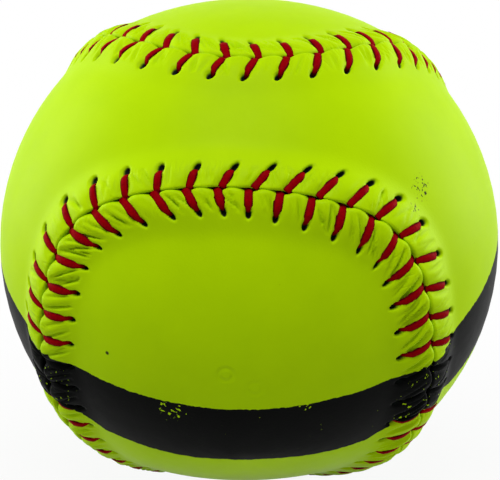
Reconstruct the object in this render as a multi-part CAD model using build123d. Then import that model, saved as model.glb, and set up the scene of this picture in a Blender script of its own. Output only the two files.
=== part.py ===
from build123d import *
import math
import os

# Stitched softball: core, yarn winding, cement coat, two figure-eight covers and two sewing threads.
# Millimetres, +Z up, origin at the ball's centre. The ball lies as it is seen from the front (-Y):
# the waist of one cover faces the viewer, and the lobes of the other lie above and below it.

# Layers, from the outside in
ball_radius = 48.5            # over the covers, away from the seam: a 12 inch ball
cover_thickness = 2.2         # leather
cement_thickness = 0.6        # latex cement over the winding
winding_thickness = 11.0      # twisted yarn
bond_line = 0.2               # play between one layer and the next

# Raised seam
seam_gap = 1.5                # between the two covers' edges
welt_height = 1.1             # how far the sewn edge stands above the cover
welt_top = 6.8                # flat of the welt, from the seam line
welt_foot = 8.4               # where the welt has run out into the cover

# Stitches
stitch_count = 106            # chevrons round the ball
thread_diameter = 1.0
stitch_bend = 0.8             # radius of the thread's middle where it comes out of the seam
stitch_lift = 0.1             # play between a thread and the leather under it
front_reach = 5.9             # needle holes of the front cover, from the seam line
back_reach = 6.2              # needle holes of the back cover, from the seam line
front_tightening = 2.5        # the holes come nearer to the seam by this much at the middle of the lower seam
back_tightening = 2.4
upper_tightening = 0.8        # and by this much at the middle of the upper seam
tightening_width = 3.9        # stitches over which they do so
front_lean = 1.9              # how far a front leg leans along the seam
back_lean = 1.3               # how far a back leg leans along the seam
front_sway = 1.5              # the lean differs by this much on the two sides of each horseshoe's middle
back_sway = -1.7
front_sway_width = 3.4        # stitches from that middle to the most sway
back_sway_width = 2.6
lower_middle = -1.1           # the lower horseshoe's middle, in stitches from the first one
upper_middle = 52.0           # the upper horseshoe's middle
leg_stagger = 0.9             # the two legs of a chevron go down this far apart
first_stitch = 2.2            # place of the first chevron along the seam
upper_drift = 0.65            # the chevrons of the upper seam lie this much further on
upper_spread = 4.8            # and those on its two sides are this much further from its middle
spread_width = 6.0            # stitches from that middle to the most spread
gather = 0.9                  # the chevrons crowd together by this much left of the lower seam's middle
gather_centre = -5.3
gather_width = 3.0

# Attitude of the seam on the ball, in degrees
view_elevation = 12.0         # the front view looks down by this much
seam_pitch = -37.06
seam_yaw = -3.28
seam_roll = -1.94

# Shape of the seam curve: overtones of a closed curve that runs twice over the ball
lobe_narrowing = 0.649
swing = 1.304
lobe_squareness = -0.076
swing_squareness = -0.223
upper_shift = -0.113          # the upper and lower horseshoes differ a little, as on a hand-cut cover
upper_stretch = -0.041
upper_width = -0.038
upper_tilt = 0.050
upper_curl = 0.027
shoulder_width = 0.140
shoulder_height = -0.055
shoulder_depth = 0.051

seam_points = 48              # points that the seam curve is drawn through
table_steps = 2000            # steps of the seam's length table

inner_cover_radius = ball_radius - cover_thickness
cement_radius = inner_cover_radius - bond_line
winding_radius = cement_radius - cement_thickness - bond_line
core_radius = winding_radius - winding_thickness - bond_line
welt_radius = ball_radius + welt_height


def turned(x, y, z):
    """The seam's own axes turned to the ball's axes."""
    own = Vector(x, y, z).rotate(Axis.X, seam_pitch).rotate(Axis.Y, seam_yaw).rotate(Axis.Z, seam_roll)
    return own.rotate(Axis.X, 90 - view_elevation)


def seam_direction(t):
    """Unit direction of the seam at parameter t, from -pi to pi.

    Across the waist: sin t and its overtones. Along the waist's height: cos t and its overtones.
    Towards the viewer: cos 2t, so that the curve swings to the front twice and to the back twice.
    """
    x = upper_width * math.sin(2 * t) + shoulder_width * math.sin(4 * t) - math.sin(t)
    x -= lobe_narrowing * math.sin(3 * t) + lobe_squareness * math.sin(5 * t)
    y = math.cos(t) - lobe_narrowing * math.cos(3 * t) + lobe_squareness * math.cos(5 * t)
    y += upper_shift + upper_stretch * math.cos(2 * t) + shoulder_height * math.cos(4 * t)
    z = swing * math.cos(2 * t) + swing_squareness * math.cos(6 * t)
    z += upper_tilt * math.cos(t) + upper_curl * math.cos(3 * t) + shoulder_depth * math.cos(5 * t)
    return turned(x, y, z).normalized()


def seam_frame(t):
    """Seam direction, direction along the seam and direction across it, towards the front cover."""
    small_step = 1e-4
    here = seam_direction(t)
    along = (seam_direction(t + small_step) - seam_direction(t - small_step)).normalized()
    return here, along, here.cross(along).normalized()


def seam_table():
    """Parameters at even steps, and the length along the seam, at the welt's top, up to each."""
    parameters = [-math.pi + 2 * math.pi * i / table_steps for i in range(table_steps + 1)]
    directions = [seam_direction(t) for t in parameters]
    lengths = [0.0]
    for one, two in zip(directions, directions[1:]):
        lengths.append(lengths[-1] + (two - one).length * ball_radius)
    return parameters, lengths


def offset_curve(offset, radius):
    """Closed curve at a distance to the front side of the seam line, on a ball of the given radius."""
    angle = offset / ball_radius
    points = []
    for i in range(seam_points):
        here, along, across = seam_frame(-math.pi + 2 * math.pi * i / seam_points)
        points.append((here * math.cos(angle) + across * math.sin(angle)) * radius)
    return Edge.make_spline(points, periodic=True)


def wall(inner_offset, inner_radius, outer_offset, outer_radius):
    """Ruled wall between two curves that follow the seam."""
    inner = offset_curve(inner_offset, inner_radius)
    outer = offset_curve(outer_offset, outer_radius)
    return Face.make_surface_from_curves(inner, outer)


def shell(inner_radius, outer_radius):
    """Hollow ball."""
    return (Solid.make_sphere(outer_radius, angle1=-90) - Solid.make_sphere(inner_radius, angle1=-90)).solid()


def piece_at(pieces, point):
    """The one of several pieces that holds a point."""
    return [piece for piece in pieces if piece.is_inside(point)][0]


def cover(side):
    """One cover: a figure-eight panel whose edge is raised to a welt.

    Side is 1 for the front cover and -1 for the back one. A thick panel is cut from a hollow ball along
    the sewn edge, and what lies above the cover beyond the welt's ramp is taken away.
    """
    floor_radius = inner_cover_radius - cover_thickness
    roof_radius = welt_radius + cover_thickness
    beyond = roof_radius + cover_thickness
    edge_offset = side * seam_gap / 2
    edge_wall = wall(edge_offset, floor_radius, edge_offset, beyond)
    thick_halves = shell(inner_cover_radius, welt_radius).split(edge_wall, keep=Keep.ALL)
    thick_panel = piece_at(thick_halves, beside_seam(side * welt_top, ball_radius))

    slope = (welt_foot - welt_top) / welt_height
    ramp_low = side * (welt_foot + slope * cover_thickness)
    ramp_high = side * (welt_foot - slope * (beyond - ball_radius))
    ramp = wall(ramp_low, inner_cover_radius, ramp_high, beyond)
    roof_pieces = shell(ball_radius, roof_radius).split(ramp, keep=Keep.ALL)
    roof = piece_at(roof_pieces, beside_seam(side * (welt_foot + welt_height), welt_radius))
    return (thick_panel - roof).solid()


def beside_seam(offset, radius):
    """A point at a distance to the front side of the seam line, at the middle of the upper seam."""
    here, along, across = seam_frame(0)
    angle = offset / ball_radius
    return (here * math.cos(angle) + across * math.sin(angle)) * radius


def stitch_leg(span):
    """One leg of a chevron: up through the seam and over the leather to its needle hole.

    It lies in the XZ plane, with the ball's centre at the origin, the seam on +Z and the hole towards +X.
    The span is the angle from the seam to the hole, in radians.
    """
    crown = welt_radius + stitch_lift + thread_diameter / 2
    tip = inner_cover_radius + stitch_lift
    bend_angle = math.asin(stitch_bend / (crown - stitch_bend))
    bend_start = math.sqrt((crown - stitch_bend) ** 2 - stitch_bend ** 2)

    def at(angle, radius):
        return Vector(radius * math.sin(angle), 0, radius * math.cos(angle))

    bend_centre = at(bend_angle, crown - stitch_bend)
    bend_side = (at(bend_angle, 1) - Vector(1, 0, 0)).normalized()
    rise = Edge.make_line(at(0, tip), at(0, bend_start))
    bend = Edge.make_three_point_arc(at(0, bend_start), bend_centre + bend_side * stitch_bend, at(bend_angle, crown))
    over = Edge.make_three_point_arc(at(bend_angle, crown), at((bend_angle + span) / 2, crown), at(span, crown))
    section = Plane(at(0, tip), z_dir=(0, 0, 1)).location * Circle(thread_diameter / 2)
    return sweep(section, path=Wire([rise, bend, over])).solid()


def stitches_from(number, middle):
    """Stitches from a middle to a stitch, the shorter way round the seam."""
    return (number - middle + stitch_count / 2) % stitch_count - stitch_count / 2


def swell(x):
    """A wave that falls to -1 on one side of zero, rises to 1 on the other and dies away."""
    return x * math.exp((1 - x ** 2) / 2)


def late_swell(x):
    """A wave like swell that stays nearly flat by zero."""
    return swell(x) ** 3


def chevrons():
    """Seam frames of the chevrons, each with the places where its two legs go down the seam."""
    places = []
    total = lengths[-1]
    for i in range(stitch_count):
        place = first_stitch + i * total / stitch_count
        place += upper_drift * (1 - math.cos(2 * math.pi * i / stitch_count)) / 2
        place += gather * swell(stitches_from(i, gather_centre) / gather_width)
        place += upper_spread * late_swell(stitches_from(i, upper_middle) / spread_width)
        places.append([seam_frame(parameter_at((place + shift) % total))
                       for shift in (leg_stagger / 2, -leg_stagger / 2)])
    return places


def parameter_at(length):
    """Parameter of the seam at a length along it, from the table by straight lines."""
    step = max(i for i in range(table_steps) if lengths[i] <= length)
    share = (length - lengths[step]) / (lengths[step + 1] - lengths[step])
    return parameters[step] + share * (parameters[step + 1] - parameters[step])


def leg_heading(frame, number, side):
    """Direction in which a leg leaves the seam, and the angle to its needle hole."""
    here, along, across = frame
    from_lower = stitches_from(number, lower_middle)
    from_upper = stitches_from(number, upper_middle)
    lower_tight = math.exp(-(from_lower / tightening_width) ** 2)
    upper_tight = upper_tightening * math.exp(-(from_upper / tightening_width) ** 2)
    if side == 1:
        sway = swell(from_lower / front_sway_width) - swell(from_upper / front_sway_width)
        reach = front_reach - front_tightening * lower_tight - upper_tight
        way = across * reach + along * (front_lean + front_sway * sway)
    else:
        sway = swell(from_lower / back_sway_width) - swell(from_upper / back_sway_width)
        reach = back_reach - back_tightening * lower_tight - upper_tight
        way = across * -reach + along * (back_lean + back_sway * sway)
    return way.normalized(), way.length / ball_radius


os.makedirs("parts", exist_ok=True)
parameters, lengths = seam_table()
threads = {0: [], 1: []}
for number, frames in enumerate(chevrons()):
    for frame, side in zip(frames, (1, -1)):
        way, span = leg_heading(frame, number, side)
        leg = Plane((0, 0, 0), x_dir=way, z_dir=frame[0]).location * stitch_leg(span)
        needle = (number + (side == 1)) % 2
        threads[needle].append(leg)

export_step(Solid.make_sphere(core_radius, angle1=-90), "parts/core.step", write_pcurves=False)
export_step(shell(core_radius + bond_line, winding_radius), "parts/yarn_winding.step", write_pcurves=False)
export_step(shell(winding_radius + bond_line, cement_radius), "parts/cement_coat.step", write_pcurves=False)
export_step(cover(1), "parts/front_cover.step", write_pcurves=False)
export_step(cover(-1), "parts/back_cover.step", write_pcurves=False)
export_step(Compound(threads[0]), "parts/first_thread.step", write_pcurves=False)
export_step(Compound(threads[1]), "parts/second_thread.step", write_pcurves=False)
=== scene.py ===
import math

import bpy
import numpy as np
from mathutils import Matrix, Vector


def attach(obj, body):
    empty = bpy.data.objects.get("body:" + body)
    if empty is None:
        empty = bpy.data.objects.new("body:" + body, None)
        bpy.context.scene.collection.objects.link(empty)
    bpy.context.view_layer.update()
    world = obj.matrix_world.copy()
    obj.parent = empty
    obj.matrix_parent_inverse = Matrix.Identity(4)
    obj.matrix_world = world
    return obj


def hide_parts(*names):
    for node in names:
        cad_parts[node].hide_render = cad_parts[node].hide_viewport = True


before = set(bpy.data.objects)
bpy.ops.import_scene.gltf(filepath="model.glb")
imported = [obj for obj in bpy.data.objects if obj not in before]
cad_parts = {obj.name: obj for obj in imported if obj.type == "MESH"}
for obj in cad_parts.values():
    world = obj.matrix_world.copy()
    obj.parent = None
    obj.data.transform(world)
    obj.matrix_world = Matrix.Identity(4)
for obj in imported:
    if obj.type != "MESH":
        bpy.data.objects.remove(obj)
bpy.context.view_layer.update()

# The view
# The ball fills the picture, seen from close by and a little from above. The camera's lens follows from how
# large the ball's rim looks at that distance.
mm = 0.001
ball_radius = 48.5 * mm
camera_distance = 6.0 * ball_radius
camera_elevation = math.radians(12.0)
sensor_width_mm = 36.0
image_width_px = 500
image_centre_px = (250.0, 240.0)
ball_centre_px = (249.2, 241.8)
rim_radius_px = 249.0
nearest_seen = 10.0 * mm

camera_data = bpy.data.cameras.new("photo_camera")
rim_slope = ball_radius / math.sqrt(camera_distance**2 - ball_radius**2)
camera_data.sensor_width = sensor_width_mm
camera_data.lens = sensor_width_mm * rim_radius_px / rim_slope / image_width_px
camera_data.shift_x = (image_centre_px[0] - ball_centre_px[0]) / image_width_px
camera_data.shift_y = (ball_centre_px[1] - image_centre_px[1]) / image_width_px
camera_data.clip_start = nearest_seen
camera = bpy.data.objects.new("photo_camera", camera_data)
bpy.context.scene.collection.objects.link(camera)
towards_camera = Vector((0.0, -math.cos(camera_elevation), math.sin(camera_elevation)))
camera.location = towards_camera * camera_distance
camera.rotation_euler = towards_camera.to_track_quat("Z", "Y").to_euler()
bpy.context.scene.camera = camera
bpy.context.scene.view_settings.view_transform = "Standard"

# The seam line
# Two figure-eight covers meet along one closed line that swings over the ball twice. Every stitch, hole and
# rolled edge is placed by its length along this line and its distance from it.
seam_pitch, seam_yaw, seam_roll = np.radians((-37.06, -3.28, -1.94))
lobe_narrowing = 0.649
lobe_squareness = -0.076
swing = 1.304
swing_squareness = -0.223
upper_shift = -0.113          # the upper and lower horseshoes differ a little, as on a hand-cut cover
upper_stretch = -0.041
upper_width = -0.038
upper_tilt = 0.050
upper_curl = 0.027
shoulder_width = 0.140
shoulder_height = -0.055
shoulder_depth = 0.051
seam_table_points = 12001
small_turn = 1e-4

stitch_count = 106
first_stitch = 2.2 * mm       # place of the first chevron along the seam
lower_middle = -1.1           # the lower horseshoe's middle, in stitches from the first one
upper_middle = 52.0           # the upper horseshoe's middle
upper_drift = 0.65 * mm       # the chevrons of the upper seam lie this much further on
upper_spread = 4.8 * mm       # and those on its two sides are this much further from its middle
spread_width = 6.0            # stitches from that middle to the most spread
gather = 0.9 * mm             # the chevrons crowd together by this much left of the lower seam's middle
gather_centre = -5.3
gather_width = 3.0


def turn_about(axis, angle):
    """Matrix that turns by an angle about the x, y or z axis, which are 0, 1 and 2."""
    one, two = (axis + 1) % 3, (axis + 2) % 3
    matrix = np.eye(3)
    matrix[one, one] = matrix[two, two] = math.cos(angle)
    matrix[one, two] = -math.sin(angle)
    matrix[two, one] = math.sin(angle)
    return matrix


def unit(vectors):
    """Vectors scaled to length one, along the last axis."""
    return vectors / np.linalg.norm(vectors, axis=-1, keepdims=True)


seam_to_ball = (turn_about(0, math.pi / 2 - camera_elevation) @ turn_about(2, seam_roll)
                @ turn_about(1, seam_yaw) @ turn_about(0, seam_pitch))


def seam_line(t):
    """Directions of the seam: sin t across the waist, cos t up it, cos 2t to the viewer, and overtones.

    The even overtones of the first two coordinates and the odd ones of the third make the upper horseshoe
    a little different from the lower one.
    """
    across = upper_width * np.sin(2 * t) + shoulder_width * np.sin(4 * t) - np.sin(t)
    across = across - lobe_narrowing * np.sin(3 * t) - lobe_squareness * np.sin(5 * t)
    upward = np.cos(t) - lobe_narrowing * np.cos(3 * t) + lobe_squareness * np.cos(5 * t)
    upward = upward + upper_shift + upper_stretch * np.cos(2 * t) + shoulder_height * np.cos(4 * t)
    towards = swing * np.cos(2 * t) + swing_squareness * np.cos(6 * t)
    towards = towards + upper_tilt * np.cos(t) + upper_curl * np.cos(3 * t) + shoulder_depth * np.cos(5 * t)
    return unit(np.stack([across, upward, towards], axis=-1)) @ seam_to_ball.T


seam_table = np.linspace(-math.pi, math.pi, seam_table_points)
table_steps = np.linalg.norm(np.diff(seam_line(seam_table), axis=0), axis=1) * ball_radius
table_length = np.concatenate([[0.0], np.cumsum(table_steps)])
seam_length = table_length[-1]
pitch = seam_length / stitch_count


def stitches_from(stitch, middle):
    """Stitches from a middle to a stitch, the shorter way round the seam."""
    return np.mod(stitch - middle + stitch_count / 2, stitch_count) - stitch_count / 2


def swell(x):
    """A wave that falls to -1 on one side of zero, rises to 1 on the other and dies away."""
    return x * np.exp((1 - x**2) / 2)


def upper_share(stitch):
    """How far up the ball a stitch lies: 0 at the lower horseshoe, 1 at the upper one, as a cosine."""
    return (1 - np.cos(2 * math.pi * stitch / stitch_count)) / 2


def place_of(stitch):
    """Length along the seam of a stitch number, whole or not.

    The upper stitches lie a little further on and wider apart, and those left of the lower seam's middle
    crowd together.
    """
    drift = upper_drift * upper_share(stitch)
    spread = upper_spread * swell(stitches_from(stitch, upper_middle) / spread_width) ** 3
    crowd = gather * swell(stitches_from(stitch, gather_centre) / gather_width)
    return first_stitch + stitch * pitch + drift + spread + crowd


def seam_axes(length):
    """Seam direction, direction along it and direction across it to the front cover, at lengths along it."""
    t = np.interp(np.mod(length, seam_length), table_length, seam_table)
    here = seam_line(t)
    along = unit(seam_line(t + small_turn) - seam_line(t - small_turn))
    return here, along, unit(np.cross(here, along))


def fan_of(stitch, distance):
    """How much further apart two lines that leave the seam squarely are at a distance from it than on it.

    One less the distance, counted towards the front cover, times the seam's bend towards that cover.
    """
    place = place_of(stitch)
    bend = seam_axes(place + mm)[1] - seam_axes(place - mm)[1]
    return 1 - distance * (bend * seam_axes(place)[2]).sum(-1) / (2 * mm)


# The two covers
# Figure-eight panels of dyed leather, glued to the wound ball and sewn edge to edge. The sewn edges stand up
# as a welt: the leather puffs out between the stitches, and is pulled down under each one and into its hole.
# The rows of points lie closest together at the rolled edge and round the needle holes.
samples_per_stitch = 20
edge_rows = np.array([0.04, 0.12, 0.24, 0.40, 0.58, 0.80, 1.05, 1.35, 1.70, 2.05, 2.4, 2.75, 3.1, 3.4,
                      3.7, 4.0, 4.3, 4.6, 4.85, 5.1, 5.35, 5.6, 5.85, 6.1, 6.35, 6.6, 6.9, 7.3, 7.8,
                      8.5, 9.4]) * mm
far_shares = np.linspace(0.0, 1.0, 10)[1:]
under_shares = np.linspace(1.0, 0.0, 5)
under_edge = edge_rows[3]     # the underside stops this far from the seam
spine_share = 0.33            # how far the spine runs into each lobe, in halves of the seam's length
leather_thickness = 1.6 * mm
side_of = {"front": 1.0, "back": -1.0}

welt_height = 1.9 * mm        # at the lower seam
upper_welt_height = 1.2 * mm
welt_crest = 1.6 * mm
welt_foot = 9.4 * mm
welt_fullness = 1.2
roll_width = {"front": 0.40 * mm, "back": 1.05 * mm}
roll_depth = {"front": 0.35 * mm, "back": 1.05 * mm}
scallop = {"front": 0.10 * mm, "back": 0.30 * mm}
scallop_reach = 1.2 * mm

hole_reach = {"front": 5.9 * mm, "back": 6.2 * mm}
lower_tightening = {"front": 2.5 * mm, "back": 2.4 * mm}
lower_tight_width = 3.9       # stitches over which the holes come nearer to the seam
upper_tightening = {"front": 1.6 * mm, "back": 0.8 * mm}
upper_tight_width = {"front": 6.0, "back": 3.9}
hole_lean = {"front": 1.9 * mm, "back": 1.3 * mm}
lean_sway = {"front": 1.5 * mm, "back": -1.7 * mm}
sway_width = {"front": 3.4, "back": 2.6}
leg_start = {"front": 0.45 * mm, "back": -0.45 * mm}
leg_bow = {"front": 1.12, "back": 0.80}
leg_overrun = 1.3             # a leg's line goes on past its hole, to this share of the way
hole_length = 1.75 * mm
hole_width = 1.10 * mm
hole_depth = 1.3 * mm
hole_shade = 1.3              # spreads the painted shade of each hole out to its rim

groove_depth = 0.55 * mm      # under each leg of thread
groove_width = 0.75 * mm
groove_rise = 6.0             # full at a sixth of the way from the seam to the hole
groove_end = 1.10
groove_fade = 0.6
puff_height = 0.35 * mm       # between the legs
puff_end = 1.2
tuck_depth = 0.5 * mm         # where a leg comes out of the seam
tuck_width = 0.9 * mm
crease_depth = {"front": 0.62 * mm, "back": 0.95 * mm}
crease_width = 0.045          # in stitches
crease_start = 0.12           # share of the way from the seam to the holes
crease_span = 0.95
crease_clearance = 1.0 * mm   # the creases stop this far from each leg
creases_per_pad = {"front": 5, "back": 7}
crease_slants = {"front": (-0.7, 0.1), "back": (0.2, 0.8)}
crease_shares = (-0.4, 1.0)   # those below zero are no crease at all
crease_zone = (0.10, 0.90)    # part of the pad's width that has creases
chance = np.random.default_rng(12)
crease_place, crease_slant, crease_share = {}, {}, {}
for panel in ("front", "back"):
    crease_count = (creases_per_pad[panel], stitch_count)
    crease_place[panel] = chance.uniform(*crease_zone, crease_count)
    crease_slant[panel] = chance.uniform(*crease_slants[panel], crease_count)
    crease_share[panel] = chance.uniform(*crease_shares, crease_count).clip(0, 1)

# Each flat: direction of its middle, cosine of the angle out to its rim, depth
flats = (((0.04, -0.36, -0.93), 0.86, 2.0 * mm), ((0.0, -0.20, 0.98), 0.84, 1.5 * mm))
flat_fullness = 1.2


def reach_of(stitch, panel):
    """Distance of a needle hole from the seam: less by a bell curve at the middle of each horseshoe."""
    from_lower = stitches_from(stitch, lower_middle) / lower_tight_width
    from_upper = stitches_from(stitch, upper_middle) / upper_tight_width[panel]
    lower = lower_tightening[panel] * np.exp(-from_lower**2)
    upper = upper_tightening[panel] * np.exp(-from_upper**2)
    return hole_reach[panel] - lower - upper


def leg_shift(stitch, share, panel):
    """How far along the seam a leg has moved, at a share of its way from the seam to the hole.

    It leans by a length that sways from one side of each horseshoe to the other. The length is measured at
    that distance, so it is divided by how far the lines fan out and how far apart the stitches are there.
    """
    lower = swell(stitches_from(stitch, lower_middle) / sway_width[panel])
    upper = swell(stitches_from(stitch, upper_middle) / sway_width[panel])
    lean = hole_lean[panel] + lean_sway[panel] * (lower - upper)
    crowding = (place_of(stitch + 0.1) - place_of(stitch - 0.1)) / (0.2 * pitch)
    fan = fan_of(stitch, side_of[panel] * share * reach_of(stitch, panel))
    return leg_start[panel] + lean * np.clip(share, 0, leg_overrun) ** leg_bow[panel] / (fan * crowding)


def leather_height(stitch, distance, panel):
    """Height of the leather over the ball, and how deep each point lies in a needle hole, from 0 to 1, which
    sets the painted shade there.

    The sum of a quarter ellipse down at the rolled edge, a welt that falls as a cosine, bell-shaped grooves
    under the legs with a sine wave's puff between them, a tuck where each leg comes out of the seam,
    slanting bell-shaped creases between the legs, and a steep-sided slot at each needle hole.
    """
    reach = reach_of(stitch, panel)
    share = distance / reach
    nearest = np.round(stitch - leg_shift(stitch, share, panel) / pitch)
    from_leg = stitch - leg_shift(nearest, share, panel) / pitch
    aside = (np.mod(from_leg + 0.5, 1) - 0.5) * pitch

    rolled = np.clip((roll_width[panel] - distance) / (roll_width[panel] - edge_rows[0]), 0, 1)
    edge = -roll_depth[panel] * (1 - np.sqrt(1 - rolled**2))
    out = np.clip((distance - welt_crest) / (welt_foot - welt_crest), 0, 1)
    raised = welt_height + (upper_welt_height - welt_height) * upper_share(stitch)
    welt = raised * (0.5 + 0.5 * np.cos(math.pi * out)) ** welt_fullness

    pressed = np.clip(groove_end - share, 0, 1) ** groove_fade * np.clip(share * groove_rise, 0, 1)
    groove = -groove_depth * np.exp(-(aside / groove_width) ** 2) * pressed
    puff = puff_height * np.sin(math.pi * aside / pitch) ** 2 * np.clip(puff_end - share, 0, 1)
    tuck = -tuck_depth * np.exp(-(aside / tuck_width) ** 2) * np.exp(-distance / tuck_width)

    pad = np.floor(from_leg).astype(int) % stitch_count
    line = crease_place[panel][:, pad] + crease_slant[panel][:, pad] * (share - 0.5)
    fold = np.exp(-((np.mod(from_leg, 1) - line) / crease_width) ** 2) * crease_share[panel][:, pad]
    on_pad = np.sin(math.pi * np.clip((share - crease_start) / crease_span, 0, 1))
    clear_of_leg = 1 - np.exp(-(aside / crease_clearance) ** 2)
    creases = -crease_depth[panel] * fold.sum(0) * on_pad * clear_of_leg

    past_hole = (distance - reach) / (hole_length / 2)
    slot = np.exp(-((aside / (hole_width / 2)) ** 2 + past_hole**2) ** 2)
    height = edge + welt + groove + puff + tuck + creases - hole_depth * slot
    return height, np.clip(slot * hole_shade, 0, 1)


def out_of_round(directions):
    """Drop below a true ball: each flat deepens from its rim to its middle, by the angle's cosine."""
    drop = 0.0
    for middle, rim_cosine, depth in flats:
        nearness = np.clip((directions @ unit(np.array(middle)) - rim_cosine) / (1 - rim_cosine), 0, 1)
        drop = drop - depth * nearness**flat_fullness
    return drop


def cover_piece(name, panel):
    """A closed cover: the underside from its spine to its edge, the rolled edge, the outside to the spine.

    The columns follow the seam and the rows leave it. The spine runs through the panel's waist from lobe to
    lobe, at the middle of each pair of seam points that face each other, so the panel's two sides meet there
    point for point.
    """
    columns = stitch_count * samples_per_stitch
    half = columns // 2
    start = 0 if panel == "front" else columns // 4
    order = np.arange(columns)
    stitch = np.mod(order + start, columns) / samples_per_stitch
    place = place_of(stitch)
    here, _, across = seam_axes(place)
    side = side_of[panel]
    pair = np.mod(half - order, columns)
    middle = unit(here + here[pair])
    middle = np.concatenate([middle, middle[:1]])
    into_lobe = half * spine_share * np.sin(math.pi * np.mod(order, half) / half)
    walk = np.where(order < half, 0, half) + into_lobe
    spine = [np.interp(walk, np.arange(columns + 1), middle[:, axis]) for axis in range(3)]
    spine = unit(np.stack(spine, axis=-1))
    bulge = scallop[panel] * np.cos(2 * math.pi * stitch)

    def beside_seam(distance):
        """Directions at a distance from the seam, and that distance, scalloped between the stitches."""
        moved = distance + bulge * math.exp(-distance / scallop_reach)
        angle = (side * moved / ball_radius)[:, None]
        return here * np.cos(angle) + across * np.sin(angle), moved

    def towards_spine(distance, share):
        """Directions a share of the way from beside the seam to the spine, along great circles."""
        rim, moved = beside_seam(distance)
        whole = np.arccos(np.clip((rim * spine).sum(-1), -1, 1))
        from_rim = np.sin((1 - share) * whole) / np.sin(whole)
        from_spine = np.sin(share * whole) / np.sin(whole)
        return rim * from_rim[:, None] + spine * from_spine[:, None], moved + share * whole * ball_radius

    rows = []
    for share in under_shares:
        direction, distance = towards_spine(under_edge, share)
        rows.append((direction, distance, np.full(columns, -leather_thickness), np.ones(columns)))
    for edge_distance in edge_rows:
        direction, distance = beside_seam(edge_distance)
        height, hole = leather_height(stitch, np.full(columns, edge_distance), panel)
        rows.append((direction, distance, height, hole))
    for share in far_shares:
        direction, distance = towards_spine(edge_rows[-1], share)
        rows.append((direction, distance, np.zeros(columns), np.zeros(columns)))
    direction, distance, height, hole = (np.array(part) for part in zip(*rows))
    points = direction * (ball_radius + height + out_of_round(direction))[..., None]

    ids = np.arange(height.size).reshape(height.shape)
    for spine_row in (0, -1):
        ids[spine_row] = ids[spine_row][np.minimum(order, pair)]
    used, joined = np.unique(ids, return_inverse=True)
    joined = joined.reshape(ids.shape)
    beside = np.roll(joined, -1, axis=1)
    corners = [joined[:-1], beside[:-1], beside[1:], joined[1:]]
    along_seam = np.append(place, place[0] + seam_length)
    along_seam = np.where(along_seam < place[0], along_seam + seam_length, along_seam)
    along_seam = np.tile(along_seam, (len(rows), 1))
    from_seam = np.concatenate([distance, distance[:, :1]], axis=1)
    flat_place = np.stack([along_seam, from_seam], axis=-1)
    spots = [flat_place[:-1, :-1], flat_place[:-1, 1:], flat_place[1:, 1:], flat_place[1:, :-1]]
    if side < 0:
        corners, spots = corners[::-1], spots[::-1]
    faces = np.stack(corners, axis=-1).reshape(-1, 4)
    mesh = bpy.data.meshes.new(name)
    mesh.from_pydata(points.reshape(-1, 3)[used].tolist(), [], faces.tolist())
    mesh.polygons.foreach_set("use_smooth", np.ones(len(faces), bool))
    along_and_out = np.stack(spots, axis=-2)
    mesh.uv_layers.new(name="along_and_out").data.foreach_set("uv", along_and_out.reshape(-1))
    # depth in the needle holes, which the leather's colour turns into painted shade
    mesh.attributes.new("hole", "FLOAT", "POINT").data.foreach_set("value", hole.reshape(-1)[used])
    mesh.update()
    piece = bpy.data.objects.new(name, mesh)
    bpy.context.scene.collection.objects.link(piece)
    return piece


spot_core = 0.4               # part of a spot's radius over which it is full


class Shade:
    """A value in a material's nodes; sums, products and the like of it become Math nodes."""

    def __init__(self, finish, socket):
        self.finish = finish
        self.socket = socket

    def worked(self, operation, *values):
        """A Math node of an operation on values."""
        return self.finish.node("ShaderNodeMath", {"operation": operation}, dict(enumerate(values)))

    def __add__(self, other):
        return self.worked("ADD", self, other)

    def __sub__(self, other):
        return self.worked("SUBTRACT", self, other)

    def __rsub__(self, other):
        return self.worked("SUBTRACT", other, self)

    def __mul__(self, other):
        return self.worked("MULTIPLY", self, other)

    def __abs__(self):
        return self.worked("ABSOLUTE", self)

    __radd__ = __add__
    __rmul__ = __mul__


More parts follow.
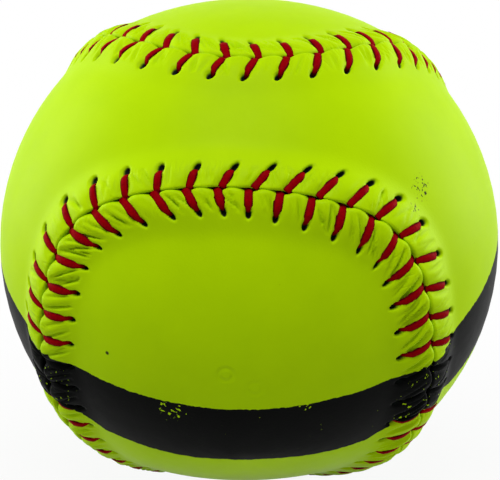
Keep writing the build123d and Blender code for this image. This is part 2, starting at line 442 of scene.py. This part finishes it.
class Finish:
    """A procedural material: one Principled shader, and one method that adds any other node."""

    def __init__(self, name):
        self.material = bpy.data.materials.new(name)
        self.material.use_nodes = True
        self.tree = self.material.node_tree
        self.shader = self.tree.nodes["Principled BSDF"]
        self.position = self.node("ShaderNodeTexCoord", {}, {}, "Object")

    def feed(self, socket, value):
        """Link a shade to a socket, or set a plain value on it."""
        if isinstance(value, Shade):
            self.tree.links.new(value.socket, socket)
        else:
            socket.default_value = value

    def node(self, kind, settings, sockets, output=0):
        """Add a node of a type: its settings first, then a value or a link for each socket."""
        node = self.tree.nodes.new(kind)
        for name, value in settings.items():
            setattr(node, name, value)
        for key, value in sockets.items():
            self.feed(node.inputs[key], value)
        return Shade(self, node.outputs[output])

    def noise(self, place, size, detail=2.0):
        """Cloudy noise from 0 to 1 with features of a size in metres."""
        sockets = {"Vector": place, "Scale": 1 / size, "Detail": detail}
        return self.node("ShaderNodeTexNoise", {}, sockets)

    def step(self, value, low, high):
        """Smooth step from 0 at one level to 1 at another."""
        levels = {"Value": value, "From Min": low, "From Max": high}
        return self.node("ShaderNodeMapRange", {"interpolation_type": "SMOOTHSTEP"}, levels)

    def mix(self, share, one, other):
        """Colour that goes from one to the other."""
        return self.node("ShaderNodeMix", {"data_type": "RGBA"}, {0: share, 6: one, 7: other}, 2)

    def bump(self, height, depth, over=None):
        """Normal of a relief whose height of 1 is a depth in metres, over an earlier relief if given."""
        sockets = {"Height": height, "Distance": depth, "Strength": 1.0}
        if over is not None:
            sockets["Normal"] = over
        return self.node("ShaderNodeBump", {}, sockets)

    def spot(self, direction, radius):
        """Share that falls from 1 at a place on the ball, given as a direction, to 0 at a radius from it."""
        ends = {0: self.position, 1: tuple(part * ball_radius for part in direction)}
        gap = self.node("ShaderNodeVectorMath", {"operation": "DISTANCE"}, ends, "Value")
        return 1.0 - self.step(gap, spot_core * radius, radius)

    def wear(self, **sockets):
        """Set or link the shader's own sockets, named with underscores for spaces."""
        for name, value in sockets.items():
            self.feed(self.shader.inputs[name.replace("_", " ")], value)


stripe_normal = (-0.017, -0.470, 0.883)
stripe_centre_front = -4.15 * mm
stripe_centre_side = 0.15 * mm
stripe_half_front = 7.3 * mm
stripe_half_side = 0.7 * mm
stripe_lift = 3.2 * mm
stripe_rise = 2.6 * mm
stripe_rise_reach = (0.55, 0.95)
broad_rag, broad_rag_size = 0.6 * mm, 5.0 * mm
fine_rag, fine_rag_size = 0.5 * mm, 0.9 * mm
stripe_edge = (-0.06 * mm, 0.08 * mm)


def stripe_paint(finish, lifted):
    """Share of black stripe paint: a band about a tilted plane, wider at the sides, with ragged edges.

    Its lower edge is drawn up by a length over the welt, where the brush didn't reach, and the whole band
    rises towards the right-hand side.
    """
    facing = finish.node("ShaderNodeVectorMath", {"operation": "NORMALIZE"}, {0: finish.position})
    plane = {0: facing, 1: stripe_normal}
    level = finish.node("ShaderNodeVectorMath", {"operation": "DOT_PRODUCT"}, plane, "Value")
    rightward = finish.node("ShaderNodeSeparateXYZ", {}, {0: facing}, 0)
    sideways = rightward * rightward
    middle = sideways * stripe_centre_side + stripe_centre_front + lifted * 0.5
    middle = middle + finish.step(rightward, *stripe_rise_reach) * stripe_rise
    half = sideways * stripe_half_side + stripe_half_front - lifted * 0.5
    ragged = (finish.noise(finish.position, broad_rag_size) - 0.5) * broad_rag
    ragged = ragged + (finish.noise(finish.position, fine_rag_size) - 0.5) * fine_rag
    return finish.step(half - abs(level * ball_radius - middle) + ragged, *stripe_edge)


lime = (0.44, 0.69, 0.0, 1.0)
deep_lime = (0.38, 0.62, 0.0, 1.0)
stripe_black = (0.0008, 0.001, 0.0008, 1.0)
stripe_painted_sheen = (0.0025, 0.003, 0.0025, 1.0)
painted_hole_shade = (0.010, 0.014, 0.012, 1.0)
scuff_grey = (0.02, 0.03, 0.01, 1.0)
mottle_size = 9.0 * mm
streak_size = 3.0 * mm
flake_size, flake_patch_size = 0.75 * mm, 6.0 * mm
scuff_size = 0.55 * mm
wrinkle_size, wrinkle_patch_size = 1.8 * mm, 7.0 * mm
wrinkle_stretch = (1.0, 0.30, 1.0)
grain_size = 0.35 * mm
sheen_size = 2.5 * mm
grain_relief, wrinkle_relief, ring_relief = 0.025 * mm, 0.06 * mm, 0.30 * mm
brush_missed = (4.0 * mm, 11.0 * mm)     # distances from the seam over which each of these dies out
flaking_welt = (5.0 * mm, 8.5 * mm)
wrinkled_pad = (3.0 * mm, 6.0 * mm)
welt_wear, edge_wear, flake_levels = 0.19, 0.18, (0.75, 0.77)
scuff_wear, scuff_levels = 0.22, (0.80, 0.83)
painted_hole_shade_levels = (0.25, 0.75)
pucker_levels = (0.45, 0.58)
wrinkle_line = (0.0, 0.08)
worn_spots = (((-0.279, -0.856, -0.435), 3.5 * mm), ((0.197, -0.893, -0.404), 2.0 * mm))
scuff_spots = (((0.606, -0.714, 0.351), 3.6 * mm), ((0.573, -0.771, 0.278), 2.4 * mm))
speck_spot = ((-0.505, -0.833, -0.227), 0.5 * mm)
ring_marks = (((-0.081, -0.960, -0.269), 1.0), ((0.020, -0.946, -0.324), 0.5))
ring_outside, ring_inside = 2.0 * mm, 1.4 * mm
least_roughness, roughness_spread = 0.40, 0.12
leather_shine = 0.025

leather = Finish("lime_leather")
seam_map = leather.node("ShaderNodeUVMap", {"uv_map": "along_and_out"}, {})
out_from_seam = leather.node("ShaderNodeSeparateXYZ", {}, {0: seam_map}, 1)
mottle = leather.noise(leather.position, mottle_size, 4.0)
dyed = leather.mix(mottle, lime, deep_lime)

# Stripe paint on the leather, flaked over the welt and at two places of its upper edge, with a painted sheen
# of dark grey streaks
over_welt = 1.0 - leather.step(out_from_seam, *brush_missed)
paint = stripe_paint(leather, over_welt * stripe_lift)
near_seam = 1.0 - leather.step(out_from_seam, *flaking_welt)
worn_welt = near_seam * leather.noise(leather.position, flake_patch_size)
worn_edge = sum(leather.spot(*place) for place in worn_spots)
worn = worn_welt * welt_wear + worn_edge * edge_wear
flaked = leather.step(leather.noise(leather.position, flake_size, 6.0) + worn, *flake_levels)
# painted sheen: streaks of dark grey mixed into the black paint
streaks = leather.noise(leather.position, streak_size, 4.0)
dyed = leather.mix(paint * (1.0 - flaked), dyed, leather.mix(streaks, stripe_black, stripe_painted_sheen))

# Scuffs beside the seam on the right, a speck on the left, and painted shade in the needle holes
scuffed = sum(leather.spot(*place) for place in scuff_spots) * scuff_wear
scuffed = leather.step(leather.noise(leather.position, scuff_size) + scuffed, *scuff_levels)
dyed = leather.mix(scuffed + leather.spot(*speck_spot), dyed, scuff_grey)
hole = leather.node("ShaderNodeAttribute", {"attribute_name": "hole"}, {}, "Fac")
# painted shade: the leather is coloured near-black down inside each needle hole
dyed = leather.mix(leather.step(hole, *painted_hole_shade_levels), dyed, painted_hole_shade)

# Relief: the leather's grain, fine wrinkles on some pads, and two ring-shaped marks
stretching = {0: seam_map, 1: wrinkle_stretch}
stretched = leather.node("ShaderNodeVectorMath", {"operation": "MULTIPLY"}, stretching)
wrinkle = 1.0 - leather.step(abs(leather.noise(stretched, wrinkle_size) - 0.5), *wrinkle_line)
on_pads = 1.0 - leather.step(out_from_seam, *wrinkled_pad)
puckered = leather.step(leather.noise(leather.position, wrinkle_patch_size), *pucker_levels) * on_pads
rings = 0.0
for direction, strength in ring_marks:
    ring = leather.spot(direction, ring_outside) - leather.spot(direction, ring_inside)
    rings = rings + ring * strength
relief = leather.bump(leather.noise(leather.position, grain_size), grain_relief)
relief = leather.bump(1.0 - wrinkle * puckered, wrinkle_relief, relief)
relief = leather.bump(1.0 - rings, ring_relief, relief)
sheen = leather.noise(leather.position, sheen_size) * roughness_spread + least_roughness
leather.wear(Base_Color=dyed, Normal=relief, Roughness=sheen, Specular_IOR_Level=leather_shine)

front_cover = cover_piece("front_cover_leather", "front")
back_cover = cover_piece("back_cover_leather", "back")
for piece, node in ((front_cover, "front_cover"), (back_cover, "back_cover")):
    piece.data.materials.append(leather.material)
    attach(piece, "root")
    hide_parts(node)

# The two sewing threads
# Waxed red thread, sewn with two needles in turn. Each stitch comes up out of the seam, crosses one cover's
# edge and goes down its needle hole, and the next one crosses the other edge, so the legs form chevrons.
leg_shares = np.array([0.00, 0.10, 0.24, 0.42, 0.60, 0.76, 0.89, 1.00])
ring_turns = np.arange(8) / 8
thread_width = {"front": 1.80 * mm, "back": 2.05 * mm}
thread_thickness = 0.66 * mm
thread_ride = 0.36 * thread_thickness    # height of the thread's middle over the leather
seam_taper = {"front": 0.15, "back": 0.22}
hole_taper = {"front": 0.45, "back": 0.50}
first_rest = 1.0 * mm                    # from here on the thread rests on the leather
last_rest = 0.75 * hole_length           # up to this far before its hole's middle
leg_stop = 0.18 * hole_length            # the leg ends this far before it
seam_sink = {"front": 0.30 * mm, "back": 0.80 * mm}
seam_sink_share = 0.10
hole_sink = 1.6 * mm
hole_sink_from = 0.78
hole_sink_bend = 1.6
seam_taper_bend, hole_taper_bend = 3, 2.5


def thread_piece(name, needle):
    """Flattened tubes of thread: an ellipse carried along each leg's line, over the leather.

    At the seam the line sinks as a bell curve and at the hole as a power of the way past a share. The
    ellipse gets slimmer towards both ends.
    """
    turn = 2 * math.pi * ring_turns
    points = []
    for panel, first in (("front", needle), ("back", 1 - needle)):
        number = np.arange(first, stitch_count, 2)[:, None]
        share = leg_shares[None, :] + 0.0 * number
        reach = reach_of(number, panel)
        distance = share * (reach - leg_stop)
        stitch = number + leg_shift(number, distance / reach, panel) / pitch
        on_leather = np.clip(distance, first_rest, reach - last_rest)
        height = leather_height(stitch, on_leather, panel)[0] + thread_ride
        into_seam = seam_sink[panel] * np.exp(-(share / seam_sink_share) ** 2)
        past_rest = np.clip((share - hole_sink_from) / (1 - hole_sink_from), 0, 1)
        height = height - into_seam - hole_sink * past_rest**hole_sink_bend
        here, _, across = seam_axes(place_of(stitch))
        angle = (side_of[panel] * distance / ball_radius)[..., None]
        outward = here * np.cos(angle) + across * np.sin(angle)
        path = outward * (ball_radius + height + out_of_round(outward))[..., None]
        heading = unit(np.gradient(path, axis=1))
        sideways = unit(np.cross(heading, outward))
        upwards = np.cross(sideways, heading)
        slim = 1.0 - seam_taper[panel] * (1 - share) ** seam_taper_bend
        slim = slim - hole_taper[panel] * share**hole_taper_bend
        wide = sideways[:, :, None] * (np.cos(turn)[:, None] * thread_width[panel] / 2)
        tall = upwards[:, :, None] * (np.sin(turn)[:, None] * thread_thickness / 2)
        points.append(path[:, :, None] + (wide + tall) * slim[:, :, None, None])
    points = np.concatenate(points)
    # how near each point lies to the ribbon's flat edges, where the thread's colour gets painted shade
    flank = np.broadcast_to(np.abs(np.cos(turn)), points.shape[:3])
    ids = np.arange(points[..., 0].size).reshape(points.shape[:3])
    beside = np.roll(ids, -1, axis=2)
    corners = [ids[:, :-1], ids[:, 1:], beside[:, 1:], beside[:, :-1]]
    faces = np.stack(corners, axis=-1).reshape(-1, 4).tolist()
    faces += ids[:, 0].tolist() + ids[:, -1, ::-1].tolist()
    mesh = bpy.data.meshes.new(name)
    mesh.from_pydata(points.reshape(-1, 3).tolist(), [], faces)
    mesh.polygons.foreach_set("use_smooth", np.ones(len(faces), bool))
    mesh.attributes.new("flank", "FLOAT", "POINT").data.foreach_set("value", flank.reshape(-1))
    mesh.update()
    piece = bpy.data.objects.new(name, mesh)
    bpy.context.scene.collection.objects.link(piece)
    return piece


thread_red = (0.36, 0.0, 0.002, 1.0)
thread_shade = (0.15, 0.0, 0.003, 1.0)
# deep red of the painted shade along the thread's edges
thread_edge_painted_shade = (0.06, 0.0, 0.003, 1.0)
fibre_size, fibre_relief = 0.45 * mm, 0.06 * mm
painted_shade_flank_levels = (0.40, 1.0)
thread_shine = 0.01
thread = Finish("red_thread")
fibre = thread.noise(thread.position, fibre_size, 3.0)
spun = thread.mix(fibre, thread_red, thread_shade)
flank = thread.node("ShaderNodeAttribute", {"attribute_name": "flank"}, {}, "Fac")
# painted shade: the thread is darkened towards its flat edges, leaving a lighter line down its middle
spun = thread.mix(thread.step(flank, *painted_shade_flank_levels), spun, thread_edge_painted_shade)
spun = thread.mix(stripe_paint(thread, stripe_lift), spun, stripe_black)
thread.wear(Base_Color=spun, Normal=thread.bump(fibre, fibre_relief), Roughness=fibre * 0.2 + 0.42)
thread.wear(Specular_IOR_Level=thread_shine)

first_thread = thread_piece("first_thread_legs", 0)
second_thread = thread_piece("second_thread_legs", 1)
for piece, node in ((first_thread, "first_thread"), (second_thread, "second_thread")):
    piece.data.materials.append(thread.material)
    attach(piece, "root")
    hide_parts(node)

# Inside the ball
# A cork and rubber core, wound with yarn and dipped in rubber cement. The covers hide all three, so they
# keep their plain solids and only get a finish.
rubber_brown = (0.20, 0.11, 0.05, 1.0)
cork_tan = (0.38, 0.24, 0.12, 1.0)
granule_size, granule_relief = 2.0 * mm, 0.3 * mm
granule_levels = (0.42, 0.58)
core_finish = Finish("cork_and_rubber")
granules = core_finish.noise(core_finish.position, granule_size, 3.0)
cork = core_finish.mix(core_finish.step(granules, *granule_levels), rubber_brown, cork_tan)
core_relief = core_finish.bump(granules, granule_relief)
core_finish.wear(Base_Color=cork, Roughness=granules * 0.2 + 0.7, Normal=core_relief)

yarn_shadow = (0.48, 0.44, 0.36, 1.0)
yarn_cream = (0.70, 0.66, 0.58, 1.0)
strands_per_metre, strand_wander, strand_relief = 120.0, 6.0, 0.4 * mm
yarn_finish = Finish("wound_yarn")
winding = {"Vector": yarn_finish.position, "Scale": strands_per_metre, "Distortion": strand_wander}
strands = yarn_finish.node("ShaderNodeTexWave", {"wave_type": "RINGS"}, winding)
yarn = yarn_finish.mix(strands, yarn_shadow, yarn_cream)
yarn_relief = yarn_finish.bump(strands, strand_relief)
yarn_finish.wear(Base_Color=yarn, Roughness=strands * 0.1 + 0.8, Normal=yarn_relief)

cement_amber = (0.55, 0.40, 0.20, 1.0)
cement_pale = (0.70, 0.55, 0.32, 1.0)
run_size, run_relief = 6.0 * mm, 0.2 * mm
cement_finish = Finish("dried_rubber_cement")
runs = cement_finish.noise(cement_finish.position, run_size, 4.0)
film = cement_finish.mix(runs, cement_amber, cement_pale)
cement_relief = cement_finish.bump(runs, run_relief)
cement_finish.wear(Base_Color=film, Roughness=runs * 0.3 + 0.35, Normal=cement_relief)

inner_finishes = {"core": core_finish, "yarn_winding": yarn_finish, "cement_coat": cement_finish}
for node, finish in inner_finishes.items():
    bpy.data.objects[node].data.materials.clear()
    bpy.data.objects[node].data.materials.append(finish.material)

# The studio
# A plain pale floor under the ball, a white surround, two tall soft lights beside it and one in front, high
# up. Floor and surround are white to the eye and light the ball only a little.
white = (1.0, 1.0, 1.0, 1.0)
floor_grey = (0.52, 0.52, 0.52, 1.0)
floor_pale = (0.56, 0.56, 0.56, 1.0)
floor_half = 3.0
floor_shadow = 0.08           # share of the floor's own shading that is seen close to the ball
shadow_reach = (1.0 * ball_radius, 4.0 * ball_radius)
cloud_size = 20.0 * mm
surround_light = 0.08


def seen_by_eye(finish):
    """1 for what the camera sees, straight, mirrored or through glass, and 0 for what only gives light."""
    camera_ray = finish.node("ShaderNodeLightPath", {}, {}, "Is Camera Ray")
    glossy_ray = finish.node("ShaderNodeLightPath", {}, {}, "Is Glossy Ray")
    return camera_ray + glossy_ray + finish.node("ShaderNodeLightPath", {}, {}, "Is Transmission Ray")


class Surround(Finish):
    """The studio's surround: its nodes are those of the scene's world."""

    def __init__(self, name):
        bpy.context.scene.world = bpy.data.worlds.new(name)
        bpy.context.scene.world.use_nodes = True
        self.tree = bpy.context.scene.world.node_tree
        self.shader = self.tree.nodes["Background"]


surround = Surround("studio")
surround.wear(Color=white, Strength=seen_by_eye(surround) * (1.0 - surround_light) + surround_light)

floor_level = min(np.array(piece.bound_box)[:, 2].min() for piece in (front_cover, back_cover))
floor_sides = ((-1, -1), (1, -1), (1, 1), (-1, 1))
floor_corners = [(x * floor_half, y * floor_half, floor_level) for x, y in floor_sides]
floor_mesh = bpy.data.meshes.new("floor")
floor_mesh.from_pydata(floor_corners, [], [(0, 1, 2, 3)])
floor = bpy.data.objects.new("floor", floor_mesh)
bpy.context.scene.collection.objects.link(floor)
floor_finish = Finish("pale_floor")
cloud = floor_finish.noise(floor_finish.position, cloud_size)
floor_finish.wear(Base_Color=floor_finish.mix(cloud, floor_grey, floor_pale), Roughness=0.9)
on_floor = {0: floor_finish.position}
from_ball = floor_finish.node("ShaderNodeVectorMath", {"operation": "LENGTH"}, on_floor, "Value")
far_off = floor_finish.step(from_ball, *shadow_reach)
whiteness = seen_by_eye(floor_finish) * (far_off * floor_shadow + (1.0 - floor_shadow))
glow = floor_finish.node("ShaderNodeEmission", {}, {"Color": white, "Strength": 1.0})
matt = Shade(floor_finish, floor_finish.shader.outputs[0])
seen = floor_finish.node("ShaderNodeMixShader", {}, {0: whiteness, 1: matt, 2: glow})
floor_finish.feed(floor_finish.tree.nodes["Material Output"].inputs["Surface"], seen)
floor_mesh.materials.append(floor_finish.material)


def softbox(name, place, width, height, power):
    """A flat soft light at a place, turned to the ball."""
    lamp = bpy.data.lights.new(name, "AREA")
    lamp.shape = "RECTANGLE"
    lamp.size = width
    lamp.size_y = height
    lamp.energy = power
    light = bpy.data.objects.new(name, lamp)
    light.location = place
    light.rotation_euler = Vector(place).to_track_quat("Z", "Y").to_euler()
    bpy.context.scene.collection.objects.link(light)


softbox("left_softbox", (-0.60, 0.22, 0.12), 0.40, 0.60, 4.6)
softbox("right_softbox", (0.60, 0.22, 0.12), 0.40, 0.60, 5.0)
softbox("front_softbox", (-0.06, -0.32, 0.64), 0.50, 0.30, 4.5)
